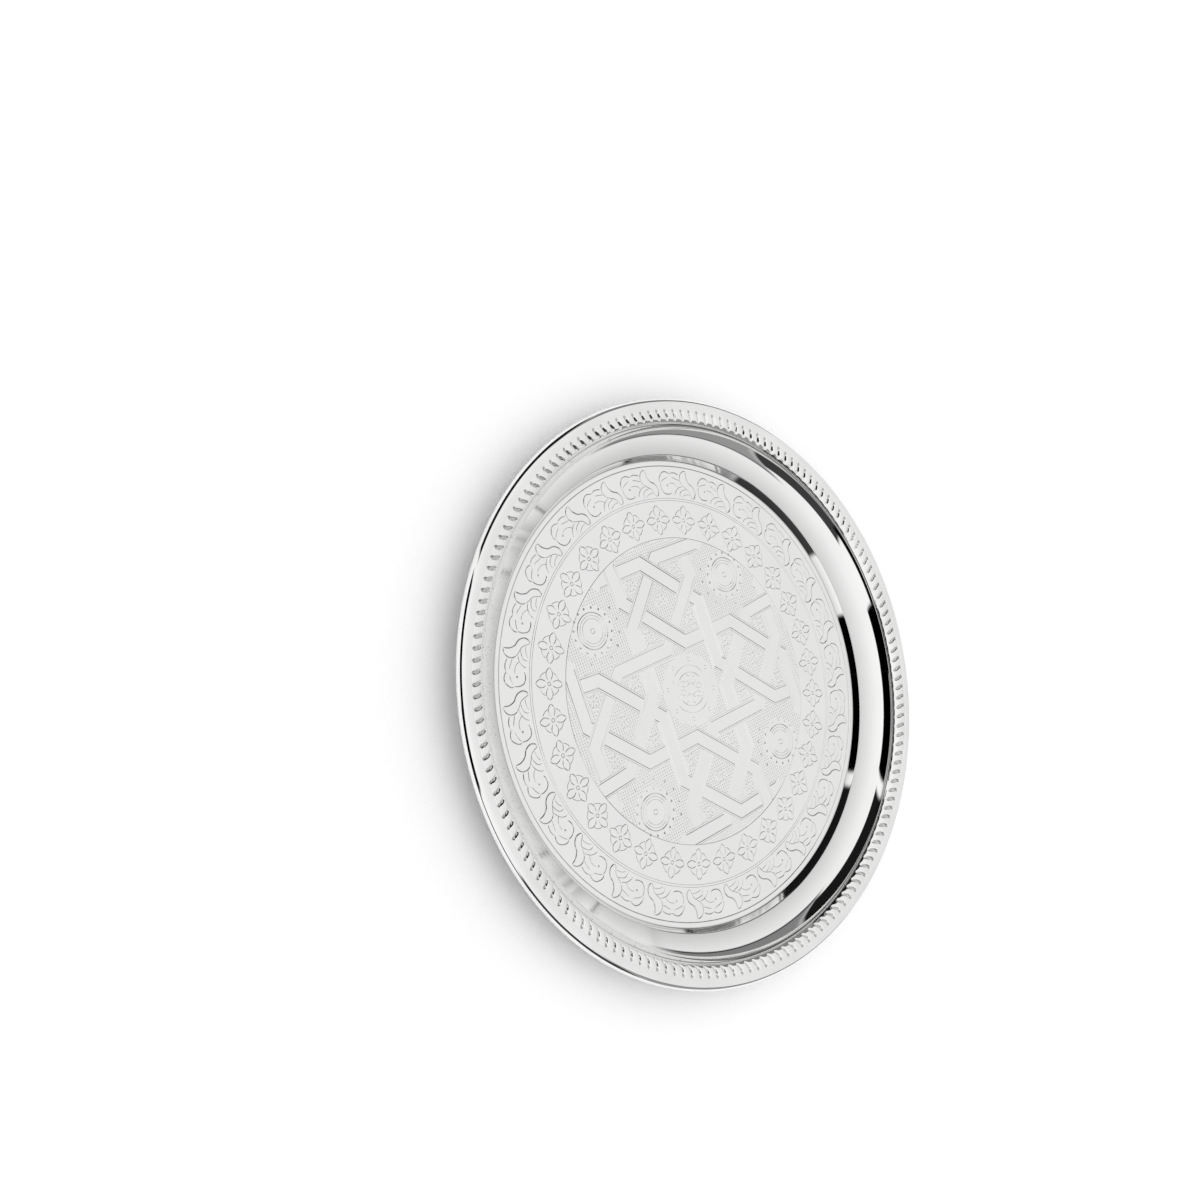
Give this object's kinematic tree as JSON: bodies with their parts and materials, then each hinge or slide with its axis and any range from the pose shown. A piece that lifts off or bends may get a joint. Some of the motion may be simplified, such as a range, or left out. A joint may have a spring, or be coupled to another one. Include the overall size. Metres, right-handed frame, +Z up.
{
  "type": "round salver",
  "caption": "Round polished silver salver with an engraved flat floor, stepped ledge and gadrooned border, for serving.",
  "frame": {"origin": "centre of the underside of the flat floor, which is the face the salver stands on", "axes": "+Z up through the middle of the salver; X and Y lie in the plane of the floor, which is round"},
  "size_m": [0.3, 0.3, 0.02],
  "materials": {
    "dish": "mirror-polished silver",
    "gadroon_border": "mirror-polished silver, die-struck",
    "rim_wire": "drawn wire"
  },
  "bodies": {
    "root": {"dish": "dish", "gadroon_border": "gadroon_border", "rim_wire": "rim_wire"}
  },
  "joints": []
}
